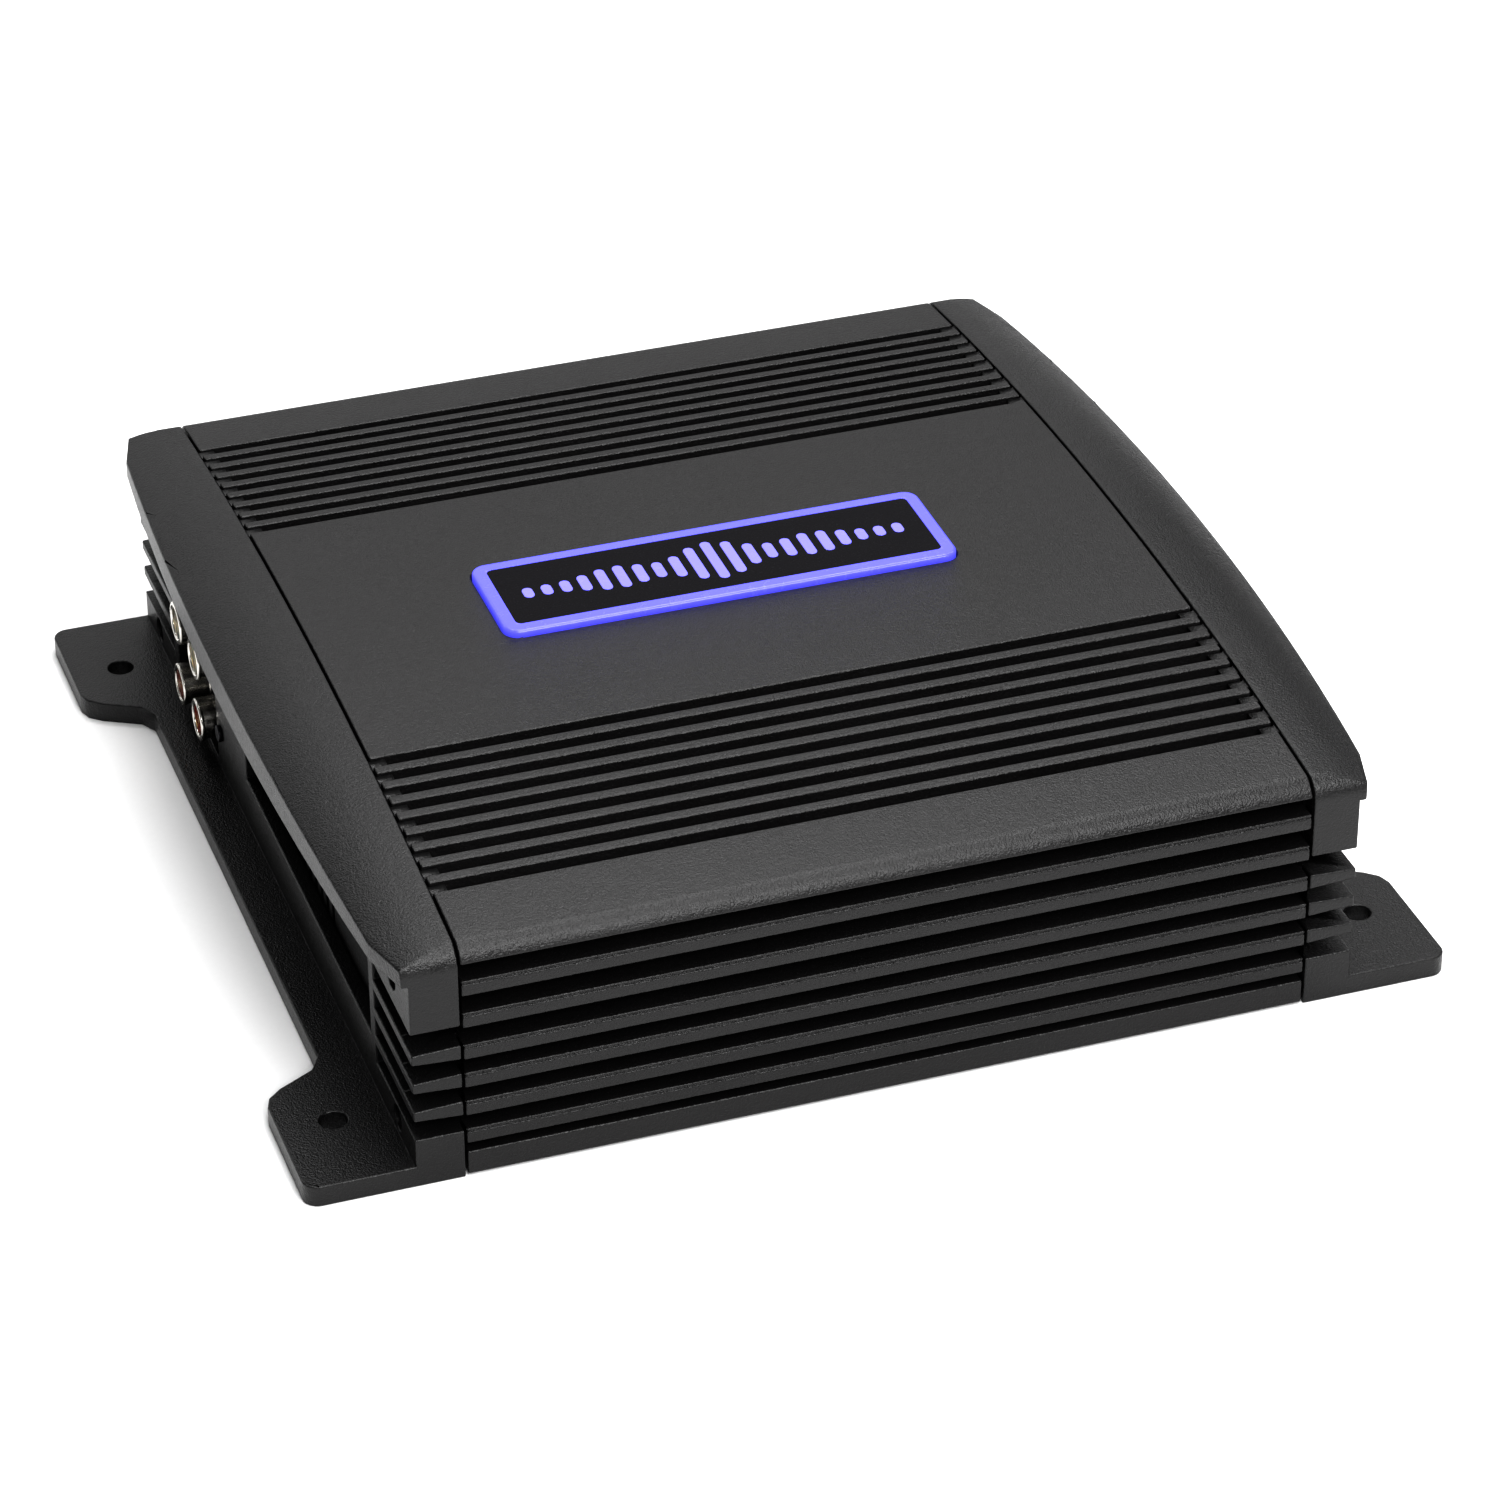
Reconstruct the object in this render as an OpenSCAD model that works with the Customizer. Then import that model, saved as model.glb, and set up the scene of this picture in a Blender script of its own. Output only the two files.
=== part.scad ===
// Two-channel car amplifier: a finned, crowned heatsink extrusion closed by two
// die-cast end caps that carry the mounting ears.
// Origin at the centre of the underside, +X along the extrusion towards the power
// end, +Y away from the badge reader, +Z up.

/* [Case] */
// Depth of the case, front face to back face
case_depth = 200; // [196:1:204]
// Length of the heatsink extrusion between the end caps
heatsink_length = 160; // [156:1:164]
// Height of the crown of the case at its middle
crown_height = 54.2; // [54:0.1:55]
// Radius of the crowned top, seen from an end
crown_radius = 806; // [780:1:850]
// Radius of the rounded top edges at the front and back
edge_radius = 4.5; // [4:0.1:5]

/* [Heatsink] */
// Number of grooves in each of the two bands on top
groove_count = 9; // [5:1:9]
// Distance between neighbouring grooves
groove_pitch = 4.75; // [4.6:0.05:4.8]
// Width of one groove
groove_width = 2.6; // [2:0.1:2.8]
// Depth of one groove below the crown
groove_depth = 3.6; // [3:0.1:3.8]
// Distance from the middle to the first groove of a band
groove_start = 44.1; // [43:0.1:45]
// Thickness of the six side fins
fin_thickness = 3.2; // [3:0.1:3.3]
// How far the side fins stand out from the wall
fin_reach = 9; // [8:0.5:9]

/* [End caps] */
// How far the cap's block reaches out from the heatsink
cap_reach = 9.5; // [9:0.1:10]
// How far the lip reaches out from the heatsink at its middle
lip_reach = 17.4; // [17:0.1:18]
// Height of the underside of the lip
lip_underside = 42.6; // [42:0.1:43]
// Radius of the rolled-over top of the cap
cap_roll_radius = 32.5; // [31:0.5:34]
// Height of the bottom block
foot_height = 10; // [9.8:0.1:10]
// Pitch of the three fins that wrap round the corners
cap_fin_pitch = 6; // [5.9:0.05:6.1]
// Length of the wrapped fins along the end face
cap_fin_wrap = 25; // [24:1:26]

/* [Mounting flange] */
// Thickness of the flange and its ears
flange_thickness = 4.3; // [4:0.1:4.5]
// Distance from the middle to the outer edge of the strip
strip_reach = 97.3; // [97:0.1:98]
// Distance from the middle to the outer edge of the ears
ear_reach = 109.6; // [109:0.1:111]
// Radius of the hole in each ear
ear_hole_r = 2.5; // [2:0.1:2.75]
// Distance between the ear holes along the case
ear_hole_x = 199; // [198:1:200]
// Distance between the ear holes front to back
ear_hole_y = 163; // [160:1:166]

/* [Badge] */
// Length of the lit badge
badge_length = 90; // [80:1:96]
// Width of the lit badge
badge_width = 26; // [24:1:28]
// Height of the badge above the crown
badge_proud = 1.1; // [0.6:0.1:1.5]
// Number of lit level bars
bar_count = 21; // [11:2:23]

/* [Connectors] */
// Outer radius of a phono socket's shell
phono_r = 4.15; // [4.1:0.05:4.2]
// Spacing of the phono sockets
phono_pitch = 13.8; // [13.5:0.1:14]
// Pitch of the three power terminals
power_pitch = 13; // [12.5:0.5:13]
// Pitch of the four speaker terminals
speaker_pitch = 10; // [9.5:0.5:10]
// Diameter of a control knob
knob_d = 6; // [5.5:0.1:6]

/* [Hidden] */
$fn = 48;

eps = 0.01;
half_depth = case_depth / 2;
half_length = heatsink_length / 2;
crown_centre = crown_height - crown_radius;

// Heatsink extrusion
underside = 0.5;
wall_outer = half_depth - fin_reach;
wall_inner = wall_outer - 5;
roof_thickness = 8;
crown_front_bottom = 45;
edge_centre_z = 44;
edge_blend = 0.5; // how far the flat runs on before the edge's curve takes over
lower_fin_top = 10.3;
lower_fin_pitch = 6;
upper_fin_pitch = 6.7;
lower_fins = 4;
bar_top = 5.3;
base_half = 90.6;
base_top = 2;
ledge_inner = 80;
ledge_top = 4.4;
edge_line = 0.35;
groove_end = groove_start + (groove_count - 1) * groove_pitch;

// End cap
seam = 0.4;
seam_floor = 46.5;
cap_end = half_length + cap_reach;
lip_end = half_length + lip_reach;
lip_bow_radius = 1062;
core_end = cap_end - 6;
core_front = half_depth - 7;
post_half = half_depth - cap_fin_wrap;
end_wall = 3;
panel_face = cap_end - end_wall;
panel_thickness = 1.2;
panel_half = post_half - 1.2;
block_bottom = 32.4;
roll_sweep = 16; // enough of a turn to pass both faces of the case
roll_depth = 70;
cap_fin_tip = 2.1;
cap_fin_root = 3.1;
cap_fin_rise = 0.4;
cap_roof = 41;
cap_cavity_x = core_end - 2;
tongue_drop = 0.6;
tongue_length = 2.8;
window_top = 38;

// Screws that hold the panels: [y, z]
panel_screw_r = 1;
panel_screw_head_r = 1.5;
upper_panel_screws = [[-72.2, 39.2], [72.2, 39.2]];
lower_panel_screw = [37, 13];

// Cap screws
cap_screw_y = half_depth - 11.5;
cap_screw_low = 7.1;
cap_screw_high = 37.5;
cap_screw_r = 1.25;
cap_head_r = 2.2;
cap_screw_seat = cap_end - 5.5;
cap_screw_tip = half_length - 14;

// Boards
board_bottom = 4.6;
board_thickness = 1.6;
board_top = board_bottom + board_thickness;
board_x = half_length + 3.8;

// Badge
badge_seat = crown_height - 1.4;
badge_top = crown_height + badge_proud;
badge_corner = 3;
badge_gap = 0.2;
face_border = 2.6;
face_thickness = 0.6;
face_corner = 1.2;
face_gap = 0.05;
face_inset = face_border + face_gap;
bar_pitch = 3.7;
bar_width = 2;
light_slot = [70, 10];

// Left end: controls in a row under the lip, vents below them
phono_y = 53.35;
phono_low = 11.2;
phono_face = half_length + 12;
control_z = 33;
knob_ys = [-64, -50, -36, -22];
switch_ys = [-7, 8];
knob_out = 2;
switch_travel = 3;
vent_count = 17;
vent_pitch = 4.1;
vent_first = 29.6;
vent_width = 1.8;
vent_low = 9;
vent_high = 25.4;

// Right end: fuses in the middle, terminals at either side
power_y = -47;
speaker_y = 47;
terminal_out = 95.5;
terminal_back = panel_face - 8.5;
power_size = [3 * power_pitch + 3, 16];
speaker_size = [4 * speaker_pitch + 3, 14];
fuse_zs = [13.5, 24.5];
fuse_size = [19.1, 5.1];
fuse_out = 96.3;
fuse_seat = 84.2;
blade = [0.65, 5.2];
blade_spacing = 12.6;
blade_length = 7.2;

module mirrored_y() {
  children();
  mirror([0, 1, 0]) children();
}

module mirrored_x() {
  children();
  mirror([1, 0, 0]) children();
}

// A drawing in (y, z) pulled along X from x0 to x1
module along_x(x0, x1) {
  translate([x0, 0, 0])
    rotate([90, 0, 90])
      linear_extrude(height = x1 - x0)
        children();
}

// A cylinder along X from x0 to x1
module rod_x(x0, x1, r, y, z) {
  translate([x0, y, z])
    rotate([0, 90, 0])
      cylinder(h = x1 - x0, r = r);
}

// A box given by its two opposite corners
module block(low, high) {
  translate(low) cube(high - low);
}

module rounded_rect(size, r) {
  x = size[0] / 2 - r;
  y = size[1] / 2 - r;
  square([size[0], 2 * y], center = true);
  square([2 * x, size[1]], center = true);
  for (sx = [-1, 1], sy = [-1, 1])
    translate([sx * x, sy * y]) circle(r = r, $fn = 32);
}

// ---- Case outline -------------------------------------------------------

module crown_circle(drop = 0) {
  translate([0, crown_centre]) circle(r = crown_radius - drop, $fn = 1440);
}

// Front and back faces with rounded top edges, uncrowned
module flanks(bottom) {
  inner = half_depth - edge_radius;
  translate([-inner - edge_blend, bottom]) square([2 * (inner + edge_blend), 60 - bottom]);
  translate([-half_depth, bottom]) square([case_depth, edge_centre_z - bottom]);
  for (s = [-1, 1])
    translate([s * inner, edge_centre_z]) circle(r = edge_radius);
}

module case_outline(bottom) {
  intersection() {
    flanks(bottom);
    crown_circle();
  }
}

function crown_at(y) = crown_centre + sqrt(crown_radius * crown_radius - y * y);
function fin_top(i) = i < lower_fins
  ? lower_fin_top + i * lower_fin_pitch
  : lower_fin_top + (lower_fins - 1) * lower_fin_pitch + (i - lower_fins + 1) * upper_fin_pitch;

// ---- Heatsink -----------------------------------------------------------

// The spaces above, between and below the fins of the front wall
module fin_gaps() {
  tops = [for (i = [0 : lower_fins + 1]) fin_top(i)];
  bottoms = concat([for (t = tops) t - fin_thickness], [crown_front_bottom]);
  floors = concat([bar_top], tops);
  for (i = [0 : len(floors) - 1])
    translate([-half_depth - 1, floors[i]])
      square([fin_reach + 1, bottoms[i] - floors[i]]);
  for (t = tops)
    translate([-half_depth - 1, t - 2 * edge_line])
      square([1 + edge_line, edge_line]);
}

module groove_slots() {
  for (i = [0 : groove_count - 1])
    let (y = groove_start + i * groove_pitch)
      translate([y - groove_width / 2, crown_at(y) - groove_depth])
        square([groove_width, 2 * groove_depth]);
}

module heatsink_section() {
  difference() {
    case_outline(underside);
    intersection() {
      crown_circle(roof_thickness);
      translate([-wall_inner, 0]) square([2 * wall_inner, 60]);
    }
    translate([-base_half, 0]) square([2 * base_half, base_top + 0.05]);
    fin_gaps();
    mirror([1, 0]) fin_gaps();
    groove_slots();
    mirror([1, 0]) groove_slots();
  }
  for (s = [-1, 1])
    translate([s > 0 ? ledge_inner : -wall_inner - eps, base_top + 0.05])
      square([wall_inner - ledge_inner + eps, ledge_top - base_top - 0.05]);
}

base_screw_xs = [-68, 0, 68];
base_screw_y = 83;
clamp_screw_xs = [-58, -29, 0, 29, 58];
clamp_z = 19;

module heatsink() {
  color("#2b2b2d")
    difference() {
      along_x(-half_length, half_length) heatsink_section();
      translate([0, 0, badge_seat])
        linear_extrude(height = 10)
          rounded_rect(
            [badge_length + 2 * badge_gap, badge_width + 2 * badge_gap],
            badge_corner + badge_gap
          );
      translate([-light_slot[0] / 2, -light_slot[1] / 2, crown_height - roof_thickness - 2])
        cube([light_slot[0], light_slot[1], 20]);
      for (x = base_screw_xs, s = [-1, 1])
        translate([x, s * base_screw_y, 0]) cylinder(h = 6, r = 1.5);
      for (x = clamp_screw_xs)
        mirrored_y()
          translate([x, wall_outer - 1, clamp_z])
            rotate([90, 0, 0]) cylinder(h = 6, r = 1.5);
      for (z = [cap_screw_low, cap_screw_high])
        mirrored_y()
          mirrored_x()
            rod_x(cap_screw_tip - 2, half_length + 1, cap_screw_r + 0.05, cap_screw_y, z);
    }
}

// ---- End caps -----------------------------------------------------------

// Plan of the overhanging lip: bowed outer edge and clipped corners
module lip_plan() {
  intersection() {
    translate([lip_end - lip_bow_radius, 0]) circle(r = lip_bow_radius, $fn = 1440);
    polygon([
      [half_length, -half_depth], [cap_end + 1.2, -half_depth],
      [cap_end + 4.2, -half_depth + 10.5], [cap_end + 9, -half_depth + 12],
      [cap_end + 9, half_depth - 12], [cap_end + 4.2, half_depth - 10.5],
      [cap_end + 1.2, half_depth], [half_length, half_depth]
    ]);
  }
}

// The top of the cap: the crown rolling over towards the lip, as a ring about
// the crown's own axis
module rolled_crown() {
  roll_centre = crown_radius - cap_roll_radius;
  translate([0, 0, crown_centre])
    rotate([0, 90, 0])
      rotate([0, 0, 180 - roll_sweep / 2])
        rotate_extrude(angle = roll_sweep, $fn = 1440)
          intersection() {
            union() {
              translate([crown_radius - roll_depth, 0]) square([roll_depth - cap_roll_radius, 120]);
              translate([roll_centre, half_length]) circle(r = cap_roll_radius, $fn = 180);
            }
            translate([crown_radius - roll_depth, half_length])
              square([roll_depth + 10, lip_reach + 3]);
          }
}

module cap_top() {
  intersection() {
    rolled_crown();
    along_x(half_length, lip_end + 1) flanks(0);
    union() {
      translate([0, 0, lip_underside])
        linear_extrude(height = 20) lip_plan();
      block([half_length, -half_depth, block_bottom], [cap_end, half_depth, lip_underside + 1]);
    }
  }
}

// One fin across the front, thicker at the seam, and its wrapped end
module cap_fin(top) {
  translate([0, -core_front, 0])
    rotate([90, 0, 0])
      linear_extrude(height = half_depth - core_front)
        polygon([
          [half_length, top + cap_fin_rise], [cap_end, top],
          [cap_end, top - cap_fin_tip], [half_length, top + cap_fin_rise - cap_fin_root]
        ]);
  block([core_end - eps, -half_depth, top - cap_fin_tip], [cap_end, -post_half, top]);
}

module ear_plan() {
  inner = 62;
  corner = 3;
  difference() {
    union() {
      polygon([
        [half_length, 0], [strip_reach, 0], [strip_reach, inner],
        [strip_reach + 1.9, inner + 3.4], [ear_reach - 3.4, inner + 7.2],
        [ear_reach - 0.9, inner + 9.4], [ear_reach, inner + 12],
        [ear_reach, half_depth - corner], [ear_reach - corner, half_depth],
        [half_length, half_depth]
      ]);
      translate([ear_reach - corner, half_depth - corner]) circle(r = corner);
    }
    translate([ear_hole_x / 2, ear_hole_y / 2]) circle(r = ear_hole_r);
  }
}

module tongues() {
  for (i = [0 : groove_count - 1])
    let (y = groove_start + i * groove_pitch, top = crown_at(y) - tongue_drop)
      block(
        [half_length - tongue_length, y - groove_width / 2 + 0.06, top - 2.4],
        [half_length + 1, y + groove_width / 2 - 0.06, top]
      );
}

// Shadow line between cap and heatsink, which only the tongues cross
module seam_cut() {
  block([half_length - 1, -half_depth - 1, seam_floor], [half_length + seam, half_depth + 1, 60]);
  mirrored_y()
    block([half_length - 1, -half_depth - 1, -1], [half_length + seam, -half_depth + 4, 60]);
}

module cap(window_low, window_ys) {
  mirrored_y() tongues();
  difference() {
    union() {
      cap_top();
      block([half_length, -core_front, 0], [core_end, core_front, block_bottom + 1]);
      block([half_length, -half_depth, 0], [cap_end, half_depth, foot_height]);
      block([core_end - 1, -post_half, 0], [cap_end, post_half, block_bottom + 1]);
      mirrored_y()
        for (i = [1 : 3])
          cap_fin(foot_height + i * cap_fin_pitch);
      mirrored_y()
        linear_extrude(height = flange_thickness) ear_plan();
    }
    // space for the board, the connectors and the air
    block([half_length - 1, -wall_inner, flange_thickness], [cap_cavity_x, wall_inner, cap_roof]);
    block([half_length - 1, -panel_half, flange_thickness], [panel_face, panel_half, cap_roof]);
    for (i = [0 : len(window_ys) - 1])
      block(
        [core_end, window_ys[i][0], window_low[i]],
        [cap_end + 1, window_ys[i][1], window_top]
      );
    seam_cut();
    for (p = upper_panel_screws)
      rod_x(panel_face - 1, panel_face + 2.3, panel_screw_r + 0.05, p[0], p[1]);
    for (z = [cap_screw_low, cap_screw_high])
      mirrored_y() {
        rod_x(half_length - 1, cap_end + 1, cap_screw_r + 0.05, cap_screw_y, z);
        rod_x(cap_screw_seat, cap_end + 1, cap_head_r + 0.2, cap_screw_y, z);
      }
  }
}

module left_end_cap() {
  color("#303033")
    mirror([1, 0, 0])
      difference() {
        cap([5.2, 14.5], [[40.5, 72], [-72, 17]]);
        rod_x(80, 95, panel_screw_r + 0.05, lower_panel_screw[0], lower_panel_screw[1]);
      }
}

module right_end_cap() {
  color("#303033") cap([5.2], [[-72, 72]]);
}

// ---- Base and panels ----------------------------------------------------

module bottom_plate() {
  color("#3a3a3d")
    difference() {
      block([-half_length + 0.3, -base_half + 0.3, underside],
            [half_length - 0.3, base_half - 0.3, base_top]);
      for (x = base_screw_xs, s = [-1, 1])
        translate([x, s * base_screw_y, 0]) {
          cylinder(h = 6, r = 1.5);
          translate([0, 0, underside - eps]) cylinder(h = 1.3, r1 = 2.85, r2 = 1.55);
        }
    }
}

module panel_blank() {
  difference() {
    block([panel_face - panel_thickness, -panel_half + 0.2, flange_thickness + 0.3],
          [panel_face, panel_half - 0.2, 40.6]);
    for (p = upper_panel_screws)
      rod_x(80, 90, panel_screw_r + 0.05, p[0], p[1]);
  }
}

module left_panel() {
  color("#262628")
    mirror([1, 0, 0])
      difference() {
        panel_blank();
        for (i = [-0.5, 0.5], j = [0, 1])
          rod_x(panel_face - 3, panel_face + 1, phono_r + 0.35,
                phono_y + i * phono_pitch, phono_low + j * phono_pitch);
        for (y = knob_ys)
          rod_x(panel_face - 3, panel_face + 1, knob_d / 2 + 0.4, y, control_z);
        rod_x(80, 90, panel_screw_r + 0.05, lower_panel_screw[0], lower_panel_screw[1]);
        for (y = switch_ys)
          block([panel_face - 3, y - 4.4, control_z - 2], [panel_face + 1, y + 4.4, control_z + 2]);
        for (i = [0 : vent_count - 1])
          block([panel_face - 3, vent_first - i * vent_pitch - vent_width / 2, vent_low],
                [panel_face + 1, vent_first - i * vent_pitch + vent_width / 2, vent_high]);
      }
}

led_ys = [-6, 6];
led_z = 33.5;
led_r = 1.5;
led_back = panel_face - 6;
led_dome = panel_face + 0.6;
led_bend = panel_face - 15;
lead = 0.5;

module right_panel() {
  color("#262628")
    difference() {
      panel_blank();
      block([80, power_y - power_size[0] / 2 - 0.3, 0],
            [90, power_y + power_size[0] / 2 + 0.3, board_top + power_size[1] + 0.3]);
      block([80, speaker_y - speaker_size[0] / 2 - 0.3, 0],
            [90, speaker_y + speaker_size[0] / 2 + 0.3, board_top + speaker_size[1] + 0.3]);
      block([80, -14.3, 0], [90, 14.3, 30.3]);
      for (y = led_ys)
        rod_x(80, 90, led_r + 0.2, y, led_z);
    }
}

// ---- Badge --------------------------------------------------------------

// Height of one level bar: a smooth swell with a ripple, mirrored about the middle
function bar_height(i) =
  let (t = (i - (bar_count - 1) / 2) / (bar_count / 2))
    3.4 + 10.5 * pow(cos(90 * t), 2) * (0.62 + 0.38 * cos(360 * t * 1.75));

module level_bars(grow = 0) {
  for (i = [0 : bar_count - 1])
    let (reach = (bar_height(i) - bar_width) / 2)
      translate([(i - (bar_count - 1) / 2) * bar_pitch, 0]) {
        square([bar_width + 2 * grow, 2 * reach], center = true);
        for (s = [-1, 1])
          translate([0, s * reach]) circle(r = bar_width / 2 + grow, $fn = 32);
      }
}

module badge_light_guide() {
  color("#5a50ff")
    difference() {
      translate([0, 0, badge_seat])
        linear_extrude(height = badge_top - badge_seat)
          rounded_rect([badge_length, badge_width], badge_corner);
      translate([0, 0, badge_top - face_thickness])
        linear_extrude(height = 2)
          difference() {
            rounded_rect([badge_length - 2 * face_border, badge_width - 2 * face_border], face_corner);
            level_bars();
          }
    }
}

module badge_face() {
  color("#0b0b0d")
    translate([0, 0, badge_top - face_thickness])
      linear_extrude(height = face_thickness - 0.1)
        difference() {
          rounded_rect([badge_length - 2 * face_inset, badge_width - 2 * face_inset], face_corner - face_gap);
          level_bars(face_gap);
        }
}

led_board_top = crown_height - roof_thickness - 0.3;

module badge_led_board() {
  color("#1f6b3a")
    block([-44, -8, led_board_top - 1.2], [44, 8, led_board_top]);
  color("white")
    for (i = [-3 : 3])
      block([i * 10 - 1.75, -1.4, led_board_top], [i * 10 + 1.75, 1.4, led_board_top + 1.9]);
}

// ---- Boards and electronics ---------------------------------------------

spacer_xs = [-70, 0, 70];
spacer_y = 74;

module main_board() {
  color("#1f6b3a")
    difference() {
      union() {
        block([-board_x, -panel_half + 0.6, board_bottom], [board_x, panel_half - 0.6, board_top]);
        block([-half_length + 1, -wall_inner + 2, board_bottom],
              [half_length - 1, wall_inner - 2, board_top]);
      }
      for (x = spacer_xs, s = [-1, 1])
        translate([x, s * spacer_y, 0]) cylinder(h = 20, r = 1.6);
    }
}

pot_depth = 6.8;
pot_back = panel_face - panel_thickness - 0.2 - pot_depth;

module control_board() {
  color("#1f6b3a")
    mirror([1, 0, 0])
      block([pot_back - board_thickness, -72, board_top], [pot_back, 16, 38.5]);
}

transformer_pos = [20, -37];
core_size = [15, 25, 14];
core_lift = 4;

module transformer_core() {
  color("#3b3f44")
    translate([transformer_pos[0], transformer_pos[1], board_top + core_lift])
      difference() {
        cylinder(h = core_size[2], r = core_size[1], $fn = 72);
        translate([0, 0, -1]) cylinder(h = core_size[2] + 2, r = core_size[0], $fn = 72);
      }
}

module transformer_windings() {
  color("#b0622d")
    translate([transformer_pos[0], transformer_pos[1], board_top])
      for (a = [10, 190])
        rotate([0, 0, a])
          rotate_extrude(angle = 160, $fn = 72)
            difference() {
              translate([core_size[0] - 3, core_lift - 3])
                square([core_size[1] - core_size[0] + 6, core_size[2] + 6]);
              translate([core_size[0] - 0.1, core_lift - 0.1])
                square([core_size[1] - core_size[0] + 0.2, core_size[2] + 0.2]);
            }
}

module can_capacitor(x, y, r, h) {
  translate([x, y, board_top]) {
    cylinder(h = h - 1, r = r);
    translate([0, 0, h - 1 - eps]) cylinder(h = 1, r1 = r, r2 = r - 0.8);
  }
}

module supply_capacitors() {
  color("#20242e")
    for (i = [0 : 2])
      can_capacitor(62, -60 + i * 20, 8, 28);
}

module rail_capacitors() {
  color("#20242e")
    for (i = [0 : 3])
      can_capacitor(-38 + i * 15, 22, 6.25, 25);
}

transistor_pitch = 14.5;

// One upright power transistor: moulded body, tab and three legs
module transistor() {
  block([-5, wall_inner - 4.9, 12], [5, wall_inner - 0.4, 21.5]);
  block([-5, wall_inner - 1.7, 21.5 - eps], [5, wall_inner - 0.4, 27.5]);
  for (x = [-2.54, 0, 2.54])
    block([x - 0.4, wall_inner - 3, board_top], [x + 0.4, wall_inner - 2.5, 12 + eps]);
}

module power_transistors() {
  color("#17171a")
    for (i = [0 : 7])
      mirrored_y()
        translate([(i - 3.5) * transistor_pitch, 0, 0]) transistor();
}

module insulator_pads() {
  color("#8c8f93")
    mirrored_y()
      difference() {
        block([-60, wall_inner - 0.4, 11], [60, wall_inner, 28.5]);
        for (x = clamp_screw_xs)
          translate([x, wall_inner + 1, clamp_z]) rotate([90, 0, 0]) cylinder(h = 4, r = 1.7);
      }
}

clamp_thickness = 1.6;
clamp_face = wall_inner - 4.9;

module transistor_clamps() {
  color("#9a9ca0")
    mirrored_y()
      difference() {
        block([-62, clamp_face - clamp_thickness, clamp_z - 4.5], [62, clamp_face, clamp_z + 4.5]);
        for (x = clamp_screw_xs)
          translate([x, clamp_face + 1, clamp_z]) rotate([90, 0, 0]) cylinder(h = 4, r = 1.7);
      }
}

module clamp_screws() {
  color("#b9babd")
    for (x = clamp_screw_xs)
      mirrored_y()
        translate([x, 0, clamp_z])
          rotate([-90, 0, 0]) {
            translate([0, 0, clamp_face - clamp_thickness - 2]) cylinder(h = 2, r = 2.7);
            translate([0, 0, clamp_face - clamp_thickness - eps])
              cylinder(h = wall_inner + 2.6 - clamp_face + clamp_thickness, r = 1.45);
          }
}

module output_inductors() {
  color("#a85a2a")
    for (x = [-46, -24])
      translate([x, -50, board_top])
        difference() {
          cylinder(h = 12, r = 9);
          translate([0, 0, -1]) cylinder(h = 14, r = 3.5);
        }
}

// ---- Phono sockets ------------------------------------------------------

module at_phono(js) {
  for (i = [-0.5, 0.5], j = js)
    translate([0, phono_y + i * phono_pitch, phono_low + j * phono_pitch])
      rotate([0, 90, 0]) children();
}

phono_shell_back = panel_face - panel_thickness - 0.3;
phono_bore = 3.35;
phono_collar = panel_face + 0.4 - phono_shell_back;
insert_recess = 1.5;

module phono_housing() {
  color("#151517")
    mirror([1, 0, 0])
      block([phono_shell_back - 12, phono_y - 14, board_top], [phono_shell_back, phono_y + 14, 32.5]);
}

module phono_shells() {
  color("#d9d6cf")
    mirror([1, 0, 0])
      at_phono([0, 1])
        translate([0, 0, phono_shell_back])
          difference() {
            union() {
              cylinder(h = phono_collar, r = phono_r + 0.2);
              cylinder(h = phono_face - phono_shell_back, r = phono_r);
            }
            translate([0, 0, -1]) cylinder(h = 20, r = phono_bore);
          }
}

module phono_insert() {
  translate([0, 0, phono_shell_back])
    difference() {
      cylinder(h = phono_face - phono_shell_back - insert_recess, r = phono_bore - 0.02);
      translate([0, 0, -1]) cylinder(h = 20, r = 1.95);
    }
}

module phono_inserts_white() {
  color("#e9e7e2") mirror([1, 0, 0]) at_phono([1]) phono_insert();
}

module phono_inserts_red() {
  color("#b3261d") mirror([1, 0, 0]) at_phono([0]) phono_insert();
}

module phono_contacts() {
  color("#caa659")
    mirror([1, 0, 0])
      at_phono([0, 1])
        translate([0, 0, phono_shell_back])
          difference() {
            cylinder(h = phono_face - phono_shell_back - insert_recess - 0.6, r = 1.93);
            translate([0, 0, 1]) cylinder(h = 20, r = 1.6);
          }
}

// ---- Controls -----------------------------------------------------------

pot_r = knob_d / 2;

module potentiometers() {
  color("#1d5fa8")
    mirror([1, 0, 0])
      for (y = knob_ys)
        difference() {
          block([pot_back, y - 4.9, control_z - 5.2], [pot_back + pot_depth, y + 4.9, control_z + 5.2]);
          rod_x(pot_back + 1, 100, pot_r + 0.06, y, control_z);
        }
}

// Slotted knob on its own shaft, with a pointer notch in the rim
module knob(y) {
  color("#101012")
    mirror([1, 0, 0])
      difference() {
        rod_x(pot_back + 1.3, panel_face + knob_out, pot_r, y, control_z);
        block([panel_face + knob_out - 1, y - 0.5, control_z - 2.2],
              [panel_face + knob_out + 1, y + 0.5, control_z + 4]);
      }
}

module gain_knob() {
  knob(knob_ys[0]);
}

module low_pass_knob() {
  knob(knob_ys[1]);
}

module high_pass_knob() {
  knob(knob_ys[2]);
}

module bass_knob() {
  knob(knob_ys[3]);
}

module switch_bodies() {
  color("#b9babd")
    mirror([1, 0, 0])
      for (y = switch_ys)
        difference() {
          block([pot_back, y - 6, control_z - 3.2], [pot_back + pot_depth, y + 6, control_z + 3.2]);
          block([pot_back + 3, y - 4.2, control_z - 1.8], [pot_back + 20, y + 4.2, control_z + 1.8]);
        }
}

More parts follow.
